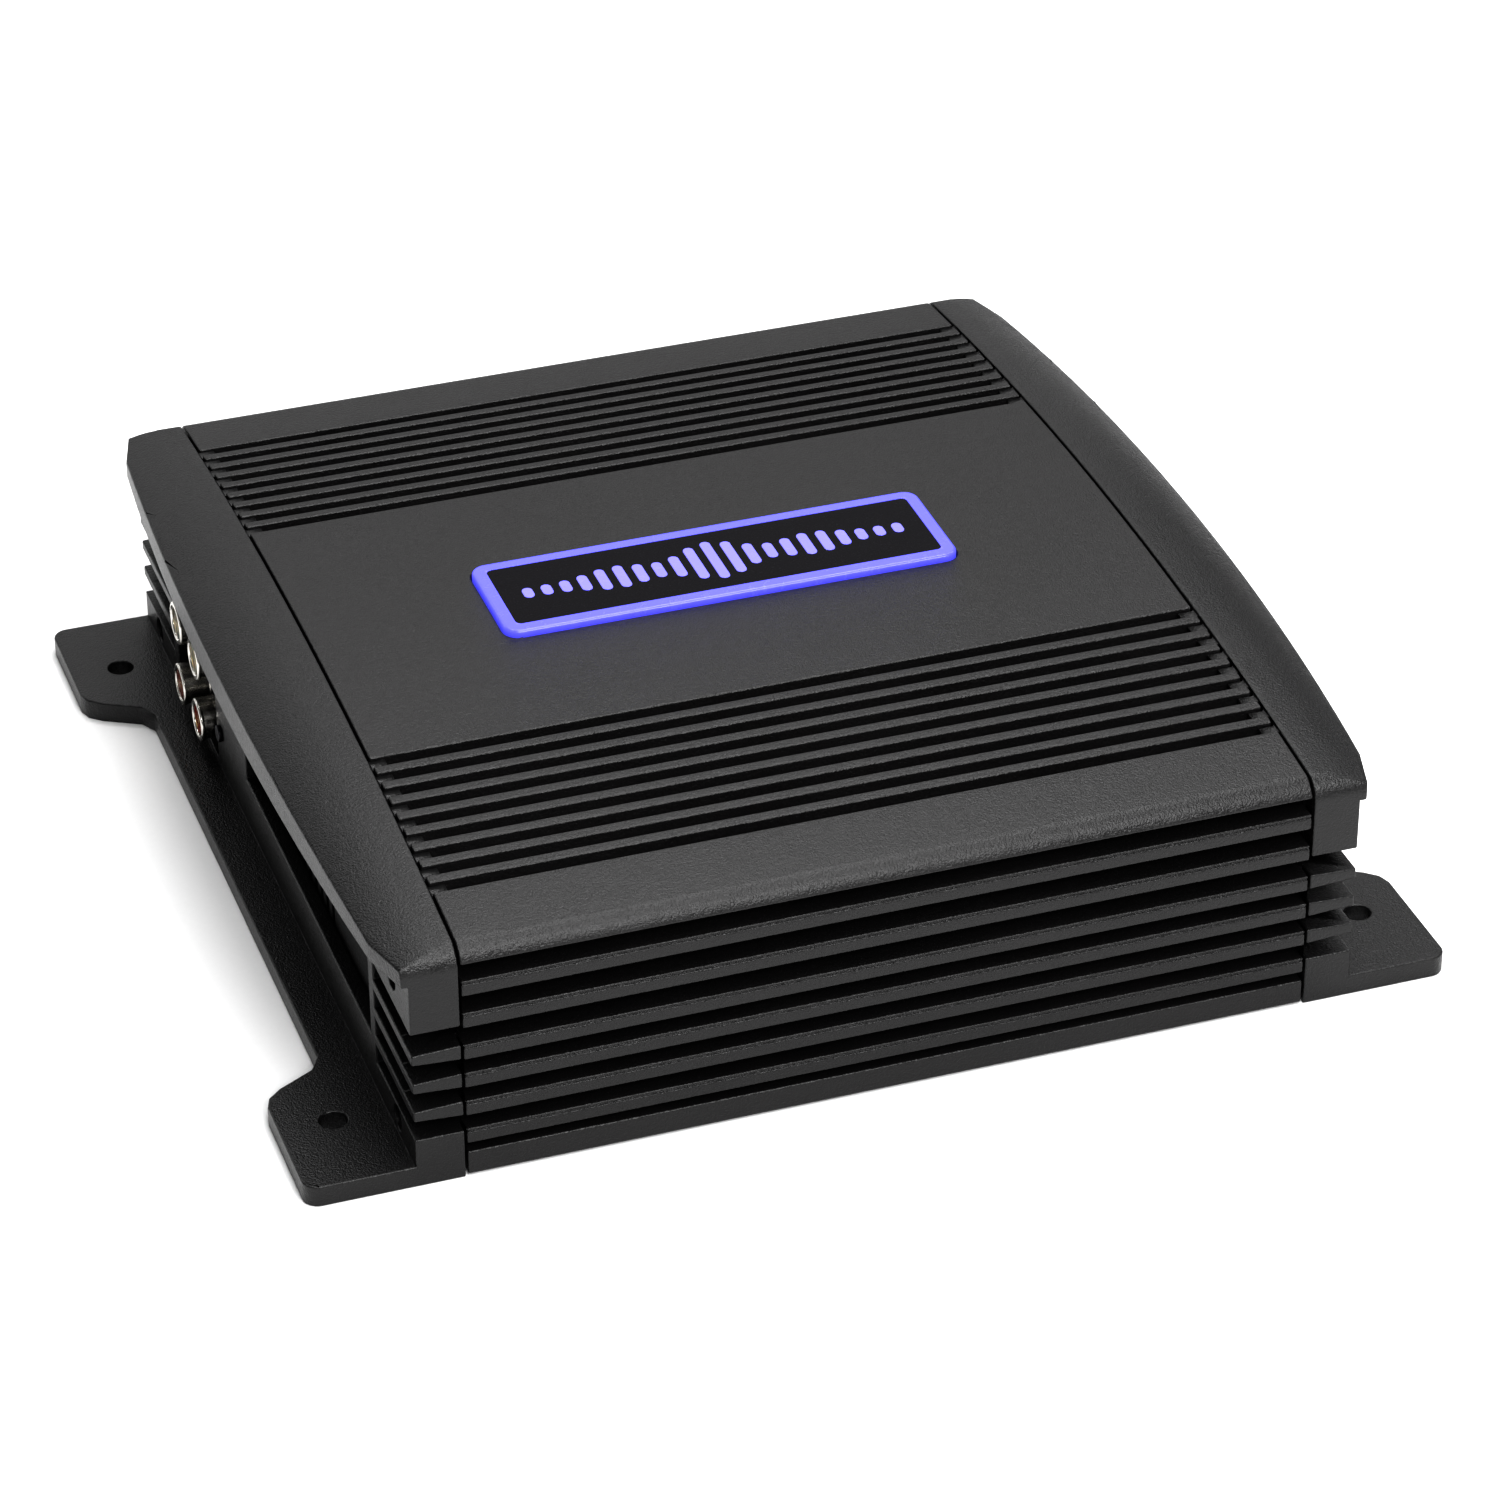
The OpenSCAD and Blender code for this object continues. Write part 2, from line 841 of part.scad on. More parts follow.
module slider(y) {
  color("#e2e2e0")
    mirror([1, 0, 0])
      block([pot_back + 3.2, y - 3.6, control_z - 1.5],
            [panel_face + 1.6, y + 3.6 - switch_travel, control_z + 1.5]);
}

module crossover_slider() {
  slider(switch_ys[0]);
}

module input_level_slider() {
  slider(switch_ys[1]);
}

// ---- Terminals ----------------------------------------------------------

screw_r = 2.4;
screw_length = 4.6;
socket_depth = 2.4;
screw_inset = 5.5;
entry = [6, 6];
clamp_wall = 1.2;
clamp_gap = 0.1;
pocket_back = 4;
pocket_floor = 1;

// Plastic housing with a pocket for each metal clamp
module terminal_housing(y, pitch, count, size) {
  difference() {
    block([terminal_back, y - size[0] / 2, board_top], [terminal_out, y + size[0] / 2, board_top + size[1]]);
    for (i = [0 : count - 1])
      let (c = y + (i - (count - 1) / 2) * pitch)
        block([terminal_back + pocket_back, c - entry[0] / 2 - clamp_wall, board_top + pocket_floor],
              [terminal_out + 1, c + entry[0] / 2 + clamp_wall, board_top + size[1] + 1]);
  }
}

// Metal clamps: a square wire entry with a threaded hole from above
module terminal_clamps(y, pitch, count, size) {
  for (i = [0 : count - 1])
    let (
      c = y + (i - (count - 1) / 2) * pitch,
      low = board_top + pocket_floor,
      reach = entry[0] / 2 + clamp_wall - clamp_gap
    )
      difference() {
        block([terminal_back + pocket_back + clamp_gap, c - reach, low],
              [terminal_out - 1, c + reach, board_top + size[1] - 1]);
        block([terminal_back + pocket_back + 1.5, c - entry[0] / 2, low + clamp_wall],
              [terminal_out + 1, c + entry[0] / 2, low + clamp_wall + entry[1]]);
        translate([terminal_out - screw_inset, c, low + 2])
          cylinder(h = 40, r = screw_r + 0.05);
      }
}

// Socket-head clamping screw
module terminal_screw(y, top) {
  color("#c8c9cc")
    translate([terminal_out - screw_inset, y, top - screw_length])
      difference() {
        cylinder(h = screw_length, r = screw_r);
        translate([0, 0, screw_length - socket_depth]) cylinder(h = 4, r = 1.35, $fn = 6);
      }
}

module power_terminal_block() {
  color("#141416") terminal_housing(power_y, power_pitch, 3, power_size);
}

module power_clamps() {
  color("#c9a45a") terminal_clamps(power_y, power_pitch, 3, power_size);
}

power_screw_top = board_top + power_size[1] - 0.6;
speaker_screw_top = board_top + speaker_size[1] - 0.2;

module battery_screw() {
  terminal_screw(power_y - power_pitch, power_screw_top);
}

module remote_screw() {
  terminal_screw(power_y, power_screw_top);
}

module ground_screw() {
  terminal_screw(power_y + power_pitch, power_screw_top);
}

module speaker_terminal_block() {
  color("#141416") terminal_housing(speaker_y, speaker_pitch, 4, speaker_size);
}

module speaker_clamps() {
  color("#c9a45a") terminal_clamps(speaker_y, speaker_pitch, 4, speaker_size);
}

module speaker_screw(i) {
  terminal_screw(speaker_y + (i - 1.5) * speaker_pitch, speaker_screw_top);
}

module speaker_screw_1() {
  speaker_screw(0);
}

module speaker_screw_2() {
  speaker_screw(1);
}

module speaker_screw_3() {
  speaker_screw(2);
}

module speaker_screw_4() {
  speaker_screw(3);
}

// ---- Fuses --------------------------------------------------------------

holder_back = panel_face - 14;
holder_front = panel_face + 2;

module fuse_holder() {
  color("#1b1b1d")
    difference() {
      block([holder_back, -14, board_top], [holder_front, 14, 30]);
      for (z = fuse_zs) {
        block([fuse_seat - 0.3, -fuse_size[0] / 2 - 0.3, z - fuse_size[1] / 2 - 0.3],
              [holder_front + 1, fuse_size[0] / 2 + 0.3, z + fuse_size[1] / 2 + 0.3]);
        for (s = [-1, 1])
          translate([0, s * blade_spacing / 2, z])
            block([fuse_seat - blade_length - 0.6, -blade[1] / 2 - 0.2, -blade[0] / 2 - 0.2],
                  [fuse_seat, blade[1] / 2 + 0.2, blade[0] / 2 + 0.2]);
      }
    }
}

// Moulded body of a blade fuse: a wide shoulder under a narrower waist
module fuse_body(z) {
  color("#d8b400")
    translate([0, 0, z]) {
      block([fuse_seat, -fuse_size[0] / 2, -fuse_size[1] / 2],
            [fuse_seat + 5, fuse_size[0] / 2, fuse_size[1] / 2]);
      block([fuse_seat + 5 - eps, -fuse_size[0] / 2 + 1.6, -fuse_size[1] / 2 + 0.6],
            [fuse_out - 1.6, fuse_size[0] / 2 - 1.6, fuse_size[1] / 2 - 0.6]);
      block([fuse_out - 1.6 - eps, -fuse_size[0] / 2 + 0.6, -fuse_size[1] / 2],
            [fuse_out, fuse_size[0] / 2 - 0.6, fuse_size[1] / 2]);
    }
}

module fuse_blades(z) {
  color("#c8c9cc")
    for (s = [-1, 1])
      translate([0, s * blade_spacing / 2, z])
        block([fuse_seat - blade_length, -blade[1] / 2, -blade[0] / 2],
              [fuse_seat, blade[1] / 2, blade[0] / 2]);
}

module upper_fuse_body() {
  fuse_body(fuse_zs[1]);
}

module upper_fuse_blades() {
  fuse_blades(fuse_zs[1]);
}

module lower_fuse_body() {
  fuse_body(fuse_zs[0]);
}

module lower_fuse_blades() {
  fuse_blades(fuse_zs[0]);
}

// Power and protection indicators: lens, body and two bent leads to the board
module status_leds() {
  color("#3fae4a")
    for (y = led_ys) {
      rod_x(led_back, led_dome, led_r, y, led_z);
      translate([led_dome, y, led_z]) sphere(r = led_r);
      rod_x(led_back - 1, led_back + 0.1, led_r + 0.4, y, led_z);
      block([led_bend, y - lead / 2, led_z - lead / 2], [led_back - 0.9, y + lead / 2, led_z + lead / 2]);
      block([led_bend - 0.4, y - lead / 2, board_top], [led_bend + 0.1, y + lead / 2, led_z + lead / 2]);
    }
}

// ---- Fasteners ----------------------------------------------------------

module board_spacers() {
  color("#b9babd")
    for (x = spacer_xs, s = [-1, 1])
      translate([x, s * spacer_y, base_top])
        difference() {
          cylinder(h = board_bottom - base_top, r = 3);
          translate([0, 0, -1]) cylinder(h = 10, r = 1.6);
        }
}

module board_screws() {
  color("#b9babd")
    for (x = spacer_xs, s = [-1, 1])
      translate([x, s * spacer_y, 0]) {
        translate([0, 0, board_top]) cylinder(h = 1.9, r = 2.8);
        translate([0, 0, base_top + 0.1]) cylinder(h = board_top - base_top, r = 1.5);
      }
}

module cap_screws() {
  color("#8f9094")
    mirrored_x()
      mirrored_y()
        for (z = [cap_screw_low, cap_screw_high]) {
          rod_x(cap_screw_tip, cap_screw_seat + eps, cap_screw_r, cap_screw_y, z);
          difference() {
            rod_x(cap_screw_seat, cap_screw_seat + 2.5, cap_head_r, cap_screw_y, z);
            translate([cap_screw_seat + 1.2, cap_screw_y, z])
              rotate([0, 90, 0]) cylinder(h = 3, r = 1.1, $fn = 6);
          }
        }
}

module base_screws() {
  color("#8f9094")
    for (x = base_screw_xs, s = [-1, 1])
      translate([x, s * base_screw_y, 0]) {
        translate([0, 0, underside]) cylinder(h = 1.2, r1 = 2.7, r2 = 1.45);
        translate([0, 0, underside + 1.19]) cylinder(h = 2.6, r = 1.45);
      }
}

// Inside heads for the upper screws, an outside head for the lower one
module panel_screws() {
  back = panel_face - panel_thickness;
  color("#8f9094") {
    mirrored_x()
      for (p = upper_panel_screws) {
        rod_x(back - 1, back, panel_screw_head_r, p[0], p[1]);
        rod_x(back - eps, panel_face + 2, panel_screw_r, p[0], p[1]);
      }
    mirror([1, 0, 0])
      translate([0, lower_panel_screw[0], lower_panel_screw[1]]) {
        rod_x(cap_end, cap_end + 0.8, 1.7, 0, 0);
        rod_x(back - 1, cap_end + eps, panel_screw_r, 0, 0);
      }
  }
}

heatsink();
left_end_cap();
right_end_cap();
bottom_plate();
left_panel();
right_panel();
badge_light_guide();
badge_face();
badge_led_board();
main_board();
control_board();
transformer_core();
transformer_windings();
supply_capacitors();
rail_capacitors();
power_transistors();
insulator_pads();
transistor_clamps();
clamp_screws();
output_inductors();
phono_housing();
phono_shells();
phono_inserts_white();
phono_inserts_red();
phono_contacts();
potentiometers();
gain_knob();
low_pass_knob();
high_pass_knob();
bass_knob();
switch_bodies();
crossover_slider();
input_level_slider();
power_terminal_block();
power_clamps();
battery_screw();
remote_screw();
ground_screw();
speaker_terminal_block();
speaker_clamps();
speaker_screw_1();
speaker_screw_2();
speaker_screw_3();
speaker_screw_4();
fuse_holder();
upper_fuse_body();
upper_fuse_blades();
lower_fuse_body();
lower_fuse_blades();
status_leds();
board_spacers();
board_screws();
cap_screws();
base_screws();
panel_screws();
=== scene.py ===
import math

import bmesh
import bpy
from mathutils import Matrix, Vector


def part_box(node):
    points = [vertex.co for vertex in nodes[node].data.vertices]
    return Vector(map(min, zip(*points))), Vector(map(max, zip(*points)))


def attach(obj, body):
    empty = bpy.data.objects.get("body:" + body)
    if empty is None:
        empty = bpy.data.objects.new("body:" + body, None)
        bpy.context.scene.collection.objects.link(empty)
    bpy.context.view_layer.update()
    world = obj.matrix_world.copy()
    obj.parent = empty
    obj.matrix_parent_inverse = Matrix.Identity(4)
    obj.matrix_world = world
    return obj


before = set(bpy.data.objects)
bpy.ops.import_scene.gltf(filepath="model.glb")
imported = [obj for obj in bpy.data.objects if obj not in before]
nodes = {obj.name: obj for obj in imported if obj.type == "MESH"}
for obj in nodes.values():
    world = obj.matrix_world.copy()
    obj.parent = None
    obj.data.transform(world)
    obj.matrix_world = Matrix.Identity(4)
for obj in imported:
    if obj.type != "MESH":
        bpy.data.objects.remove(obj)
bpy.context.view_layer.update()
MM = 0.001

# ---- Material building blocks ---------------------------------------------------------


class Finish:
    """A new material with short calls for the nodes that the finishes here are made of."""

    def __init__(self, name):
        self.material = bpy.data.materials.new(name)
        self.material.use_nodes = True
        self.tree = self.material.node_tree
        self.shader = next(n for n in self.tree.nodes if n.type == "BSDF_PRINCIPLED")
        self.place = self.add("ShaderNodeTexCoord").outputs["Object"]

    def add(self, kind, **settings):
        node = self.tree.nodes.new(kind)
        for key, value in settings.items():
            setattr(node, key, value)
        return node

    def link(self, source, target):
        if isinstance(source, bpy.types.NodeSocket):
            self.tree.links.new(source, target)
        else:
            target.default_value = source

    def set(self, **values):
        """Sets the shader's sockets by name, with _ for a space: constants directly, others linked."""
        for key, value in values.items():
            self.link(value, self.shader.inputs[key.replace("_", " ")])

    def noise(self, scale, detail, roughness, stretch=None):
        node = self.add("ShaderNodeTexNoise")
        node.inputs["Scale"].default_value = scale
        node.inputs["Detail"].default_value = detail
        node.inputs["Roughness"].default_value = roughness
        self.link(self.scaled(stretch) if stretch else self.place, node.inputs["Vector"])
        return node.outputs["Fac"]

    def cells(self, scale, feature, metric):
        node = self.add("ShaderNodeTexVoronoi", feature=feature, distance=metric)
        node.inputs["Scale"].default_value = scale
        self.link(self.place, node.inputs["Vector"])
        return node.outputs["Distance"]

    def scaled(self, factors):
        node = self.add("ShaderNodeVectorMath", operation="MULTIPLY")
        self.link(self.place, node.inputs[0])
        node.inputs[1].default_value = factors
        return node.outputs[0]

    def shifted(self, origin):
        node = self.add("ShaderNodeVectorMath", operation="SUBTRACT")
        self.link(self.place, node.inputs[0])
        node.inputs[1].default_value = origin
        return node.outputs[0]

    def axes(self, place=None):
        node = self.add("ShaderNodeSeparateXYZ")
        self.link(place or self.place, node.inputs[0])
        return node.outputs

    def math(self, operation, a, b=0.0):
        node = self.add("ShaderNodeMath", operation=operation)
        self.link(a, node.inputs[0])
        self.link(b, node.inputs[1])
        return node.outputs[0]

    def spread(self, value, low, high, out_low=0.0, out_high=1.0):
        """Maps value from [low, high] to [out_low, out_high], clamped."""
        node = self.add("ShaderNodeMapRange")
        node.inputs["From Min"].default_value = low
        node.inputs["From Max"].default_value = high
        node.inputs["To Min"].default_value = out_low
        node.inputs["To Max"].default_value = out_high
        self.link(value, node.inputs["Value"])
        return node.outputs["Result"]

    def mix(self, share, a, b):
        node = self.add("ShaderNodeMix", data_type="RGBA")
        self.link(share, node.inputs["Factor"])
        colours = [s for s in node.inputs if s.type == "RGBA"]
        for socket, colour in zip(colours, (a, b)):
            self.link(colour if isinstance(colour, bpy.types.NodeSocket) else (*colour, 1.0), socket)
        return next(s for s in node.outputs if s.type == "RGBA")

    def bump(self, height, depth):
        """A normal for a relief of that depth in metres."""
        node = self.add("ShaderNodeBump")
        node.inputs["Strength"].default_value = 1.0
        node.inputs["Distance"].default_value = depth
        self.link(height, node.inputs["Height"])
        return node.outputs["Normal"]


def shade(colour, factor):
    return tuple(c * factor for c in colour)


def powder_coat(name, colour, grain, relief, rough, level=0.42):
    """Textured powder coat: fine pimples, slight mottling, and duller and shinier specks."""
    f = Finish(name)
    fine = f.noise(grain, 2.0, 0.55)
    coarse = f.noise(grain * 0.5, 2.0, 0.5)
    cloud = f.noise(26.0, 3.0, 0.6)
    tone = f.math("ADD", f.spread(fine, 0.3, 0.7, -0.3, 0.3), f.spread(cloud, 0.3, 0.7, -0.14, 0.14))
    f.set(Base_Color=f.mix(f.spread(tone, -0.45, 0.45), shade(colour, 0.62), shade(colour, 1.42)))
    f.set(Roughness=f.spread(f.math("ADD", coarse, cloud), 0.6, 1.4, rough - 0.05, rough + 0.07))
    height = f.math("ADD", f.math("MULTIPLY", coarse, 1.4), fine)
    f.set(Normal=f.bump(height, relief))
    f.set(IOR=1.5, Specular_IOR_Level=level)
    return f.material


def moulded(name, colour, rough=0.42, grain=1600.0, relief=0.000012, level=0.4, mottle=0.12):
    """Moulded plastic with a light spark-eroded texture."""
    f = Finish(name)
    fine = f.noise(grain, 3.0, 0.6)
    cloud = f.noise(70.0, 3.0, 0.55)
    f.set(Base_Color=f.mix(f.spread(cloud, 0.3, 0.7), shade(colour, 1 - mottle), shade(colour, 1 + mottle)))
    f.set(Roughness=f.spread(fine, 0.3, 0.7, rough - 0.07, rough + 0.07))
    f.set(Normal=f.bump(fine, relief), Specular_IOR_Level=level)
    return f.material


def bare_metal(name, colour, rough, streak=(1.0, 1.0, 1.0), grain=900.0, relief=0.000006, tarnish=0.12):
    """Plated or drawn metal: fine streaks along one direction and a little uneven tarnish."""
    f = Finish(name)
    lines = f.noise(grain, 4.0, 0.65, stretch=streak)
    cloud = f.noise(120.0, 4.0, 0.6)
    f.set(Metallic=1.0)
    f.set(Base_Color=f.mix(f.spread(cloud, 0.3, 0.7), shade(colour, 1 - tarnish), colour))
    f.set(Roughness=f.spread(f.math("ADD", lines, cloud), 0.6, 1.4, rough - 0.06, rough + 0.1))
    f.set(Normal=f.bump(lines, relief))
    return f.material


# ---- The finishes, one for each of the record's material slots ------------------------------


RIPPLE_PITCH = 0.010  # length of one ripple of the badge's glow
BADGE_FOOT, BADGE_TOP = 0.0540, 0.0553  # heights between which the lit frame grows brighter
BADGE_LONGER = 0.0320  # how much further the badge reaches along x than along y
RIM_INNER, RIM_OUTER = 0.0099, 0.0106  # reach along y between which face light turns to frame light


def badge_blue():
    """Lit acrylic: a faint ripple of brightness along its length, and dimmer down its flanks."""
    f = Finish("badge_blue")
    x, y, z = f.axes()
    ripple = f.math("ABSOLUTE", f.math("SINE", f.math("MULTIPLY", x, math.pi / RIPPLE_PITCH)))
    cloud = f.noise(420.0, 3.0, 0.6)
    height = f.spread(z, BADGE_FOOT, BADGE_TOP, 0.55, 1.0)
    glow = f.math("MULTIPLY", height, f.spread(f.math("ADD", ripple, cloud), 0.2, 1.6, 0.97, 1.04))
    out_x = f.math("SUBTRACT", f.math("ABSOLUTE", x), BADGE_LONGER)
    rim = f.spread(f.math("MAXIMUM", out_x, f.math("ABSOLUTE", y)), RIM_INNER, RIM_OUTER)
    f.set(Base_Color=f.mix(cloud, (0.03, 0.028, 0.42), (0.05, 0.045, 0.55)))
    f.set(Emission_Color=f.mix(rim, (0.25, 0.23, 0.95), (0.12, 0.12, 0.98)))
    f.set(Emission_Strength=glow, Roughness=f.spread(cloud, 0.3, 0.7, 0.2, 0.3))
    f.set(Normal=f.bump(cloud, 0.000005))
    return f.material


def badge_black():
    """Gloss black face sheet with faint wiping marks."""
    f = Finish("badge_black")
    wipe = f.noise(60.0, 5.0, 0.7, stretch=(1.0, 6.0, 1.0))
    dust = f.noise(3600.0, 2.0, 0.5)
    f.set(Base_Color=f.mix(f.spread(dust, 0.62, 0.8), (0.006, 0.0055, 0.007), (0.02, 0.02, 0.024)))
    f.set(Roughness=f.spread(wipe, 0.3, 0.7, 0.2, 0.32), Specular_IOR_Level=0.06)
    f.set(Normal=f.bump(wipe, 0.00001))
    return f.material


def board_green():
    """Solder mask over a field of tracks, with pads and the weave of the laminate showing."""
    f = Finish("board_green")
    tracks = f.cells(210.0, "DISTANCE_TO_EDGE", "EUCLIDEAN")
    lanes = f.cells(430.0, "F1", "MANHATTAN")
    weave = f.noise(2400.0, 2.0, 0.5)
    copper = f.spread(f.math("ADD", tracks, f.math("MULTIPLY", lanes, 0.3)), 0.16, 0.2)
    pads = f.spread(f.cells(330.0, "F1", "CHEBYCHEV"), 0.12, 0.15, 1.0, 0.0)
    mask = f.mix(copper, (0.012, 0.075, 0.03), (0.02, 0.15, 0.055))
    f.set(Base_Color=f.mix(pads, mask, (0.55, 0.55, 0.52)))
    f.set(Roughness=f.spread(weave, 0.3, 0.7, 0.28, 0.4))
    f.set(Normal=f.bump(f.math("ADD", copper, f.math("MULTIPLY", weave, 0.2)), 0.00003))
    return f.material


def ferrite_grey():
    f = Finish("ferrite_grey")
    pits = f.noise(1500.0, 4.0, 0.7)
    cloud = f.noise(60.0, 3.0, 0.6)
    tone = f.spread(f.math("ADD", pits, cloud), 0.7, 1.3)
    f.set(Base_Color=f.mix(tone, (0.035, 0.037, 0.042), (0.09, 0.095, 0.1)))
    f.set(Roughness=f.spread(pits, 0.3, 0.7, 0.5, 0.7), Normal=f.bump(pits, 0.00004))
    return f.material


TOROID = (0.020, -0.037, 0.0)  # axis of the transformer's ring
TOROID_TURN = math.radians(3.6)  # angle that one turn of its wire takes
COIL_TURN = 0.0011  # height of one turn on the output inductors
COILS_END = -0.012  # x that parts the inductors from the transformer
COIL_EDGE = 0.0005  # width of the step between the two patterns


def turns(f, centre, pitch_angle):
    """0 to 1 across each turn of wire laid radially about a vertical axis."""
    x, y, _ = f.axes(f.shifted(centre))
    angle = f.math("ARCTAN2", y, x)
    return f.math("ABSOLUTE", f.math("SINE", f.math("MULTIPLY", angle, math.pi / pitch_angle)))


def copper_winding():
    """Enamelled wire laid side by side, with painted shade that darkens its colour in the grooves between
    the turns.
    """
    f = Finish("copper_winding")
    x, _, z = f.axes()
    ring = turns(f, TOROID, TOROID_TURN)
    coil = f.math("ABSOLUTE", f.math("SINE", f.math("MULTIPLY", z, math.pi / COIL_TURN)))
    on_ring = f.spread(x, COILS_END, COILS_END + COIL_EDGE)
    off_ring = f.math("SUBTRACT", 1.0, on_ring)
    wire = f.math("ADD", f.math("MULTIPLY", ring, on_ring), f.math("MULTIPLY", coil, off_ring))
    cloud = f.noise(160.0, 3.0, 0.6)
    # Painted shade: the colour runs from near black in each groove between turns to bright copper on each
    # turn's crown, with a little random tone from the cloud.
    tone = f.math("MULTIPLY", wire, f.spread(cloud, 0.3, 0.7, 0.8, 1.0))
    f.set(Base_Color=f.mix(tone, (0.11, 0.03, 0.012), (0.72, 0.27, 0.1)))
    f.set(Metallic=0.85, Roughness=f.spread(cloud, 0.3, 0.7, 0.25, 0.38))
    f.set(Normal=f.bump(wire, 0.00035))
    return f.material


CAPACITOR_LID = 0.0300  # height above which a capacitor's up-facing side is bare aluminium
STRIPE_PITCH = 0.020  # spacing along y of the sleeves' polarity stripes


def capacitor_sleeve():
    """Shrink sleeve with a pale polarity stripe, and a scored aluminium top."""
    f = Finish("capacitor_sleeve")
    _, _, up = f.axes(f.add("ShaderNodeNewGeometry").outputs["Normal"])
    _, y, z = f.axes()
    lid = f.math("MULTIPLY", f.spread(up, 0.9, 0.95), f.spread(z, CAPACITOR_LID, CAPACITOR_LID + 0.0002))
    stripe = f.spread(f.math("SINE", f.math("MULTIPLY", y, 2 * math.pi / STRIPE_PITCH)), 0.86, 0.9)
    cloud = f.noise(300.0, 3.0, 0.6)
    sleeve = f.mix(stripe, (0.012, 0.014, 0.03), (0.42, 0.42, 0.44))
    f.set(Base_Color=f.mix(lid, sleeve, (0.62, 0.63, 0.65)), Metallic=lid)
    f.set(Roughness=f.spread(cloud, 0.3, 0.7, 0.26, 0.38), Normal=f.bump(cloud, 0.00003))
    return f.material


def thermal_pad():
    f = Finish("thermal_pad")
    weave = f.math("MULTIPLY", f.noise(900.0, 2.0, 0.5, stretch=(1.0, 1.0, 8.0)),
                   f.noise(900.0, 2.0, 0.5, stretch=(8.0, 1.0, 1.0)))
    f.set(Base_Color=f.mix(f.spread(weave, 0.15, 0.35), (0.3, 0.31, 0.33), (0.42, 0.43, 0.45)))
    f.set(Roughness=f.spread(weave, 0.15, 0.35, 0.6, 0.75), Normal=f.bump(weave, 0.00003))
    return f.material


def fuse_yellow():
    """Tinted, slightly cloudy polycarbonate."""
    f = Finish("fuse_yellow")
    cloud = f.noise(220.0, 3.0, 0.6)
    f.set(Base_Color=f.mix(f.spread(cloud, 0.3, 0.7), (0.86, 0.5, 0.02), (0.95, 0.62, 0.05)))
    f.set(Roughness=f.spread(cloud, 0.3, 0.7, 0.12, 0.24), Transmission_Weight=0.45, IOR=1.58)
    f.set(Normal=f.bump(cloud, 0.00001))
    return f.material


LEADS_END, LENS_START = 0.0792, 0.0796  # x just behind and just past the back of a lamp's flange
GLOW_START, LENS_TIP = 0.0845, 0.0886  # x where the lens starts to glow, and its tip


def led_green():
    """Tinted epoxy, glowing in its lens and dull metal at its leads."""
    f = Finish("led_green")
    x, _, _ = f.axes()
    lens = f.spread(x, LEADS_END, LENS_START)
    cloud = f.noise(500.0, 2.0, 0.5)
    f.set(Base_Color=f.mix(lens, (0.5, 0.5, 0.5), (0.06, 0.5, 0.12)))
    f.set(Metallic=f.math("SUBTRACT", 1.0, lens))
    f.set(Emission_Color=f.mix(cloud, (0.05, 0.8, 0.12), (0.1, 1.0, 0.2)))
    f.set(Emission_Strength=f.spread(x, GLOW_START, LENS_TIP, 0.0, 1.4))
    f.set(Roughness=f.spread(cloud, 0.3, 0.7, 0.16, 0.28))
    return f.material


def insert_plastic(name, colour):
    """Smooth socket insulator, slightly waxy."""
    f = Finish(name)
    cloud = f.noise(260.0, 3.0, 0.6)
    f.set(Base_Color=f.mix(f.spread(cloud, 0.3, 0.7), shade(colour, 0.9), colour))
    f.set(Roughness=f.spread(cloud, 0.3, 0.7, 0.3, 0.42), Subsurface_Weight=0.15, Subsurface_Scale=0.0008)
    f.set(Normal=f.bump(cloud, 0.00001))
    return f.material


slots = {nodes[n].name: nodes[n].data.materials[0].name for n in nodes}
for old in list(bpy.data.materials):
    bpy.data.materials.remove(old)

finishes = {m.name: m for m in (
    powder_coat("case_powder_black", (0.0082, 0.0078, 0.0080), 3300.0, 0.00008, 0.34),
    powder_coat("cast_powder_black", (0.0080, 0.0078, 0.0080), 3200.0, 0.00008, 0.33),
    powder_coat("sheet_black", (0.006, 0.006, 0.0062), 3600.0, 0.00004, 0.55, 0.12),
    badge_blue(), badge_black(), board_green(), ferrite_grey(), copper_winding(),
    capacitor_sleeve(), thermal_pad(), fuse_yellow(), led_green(),
    moulded("component_black", (0.016, 0.016, 0.017), 0.5, 2200.0, 0.00002),
    moulded("connector_black", (0.011, 0.011, 0.012), 0.44),
    moulded("pot_blue", (0.02, 0.11, 0.36), 0.4),
    moulded("knob_black", (0.013, 0.013, 0.014), 0.55, 2600.0, 0.00002),
    moulded("slider_white", (0.7, 0.7, 0.68), 0.42, mottle=0.05),
    insert_plastic("insert_white", (0.82, 0.81, 0.78)),
    insert_plastic("insert_red", (0.30, 0.012, 0.01)),
    bare_metal("zinc_steel", (0.62, 0.63, 0.65), 0.32),
    bare_metal("screw_black", (0.055, 0.055, 0.06), 0.38, tarnish=0.3),
    bare_metal("nickel", (0.78, 0.76, 0.71), 0.2, streak=(1.0, 1.0, 12.0)),
    bare_metal("contact_gold", (0.86, 0.66, 0.3), 0.25),
    bare_metal("brass_clamp", (0.75, 0.6, 0.32), 0.28, streak=(8.0, 1.0, 1.0)),
    bare_metal("screw_nickel", (0.72, 0.71, 0.69), 0.22),
    bare_metal("fuse_zinc", (0.68, 0.69, 0.7), 0.3, streak=(1.0, 8.0, 1.0)),
)}
for name, node in nodes.items():
    node.data.materials.clear()
    node.data.materials.append(finishes[slots[name]])

# ---- Softened edges on the CAD pieces ----------------------------------------------------


def tree_of(name):
    """An empty geometry tree: (tree, input's geometry, output's geometry)."""
    tree = bpy.data.node_groups.new(name, "GeometryNodeTree")
    tree.interface.new_socket("Geometry", in_out="INPUT", socket_type="NodeSocketGeometry")
    tree.interface.new_socket("Geometry", in_out="OUTPUT", socket_type="NodeSocketGeometry")
    return tree, tree.nodes.new("NodeGroupInput").outputs[0], tree.nodes.new("NodeGroupOutput").inputs[0]


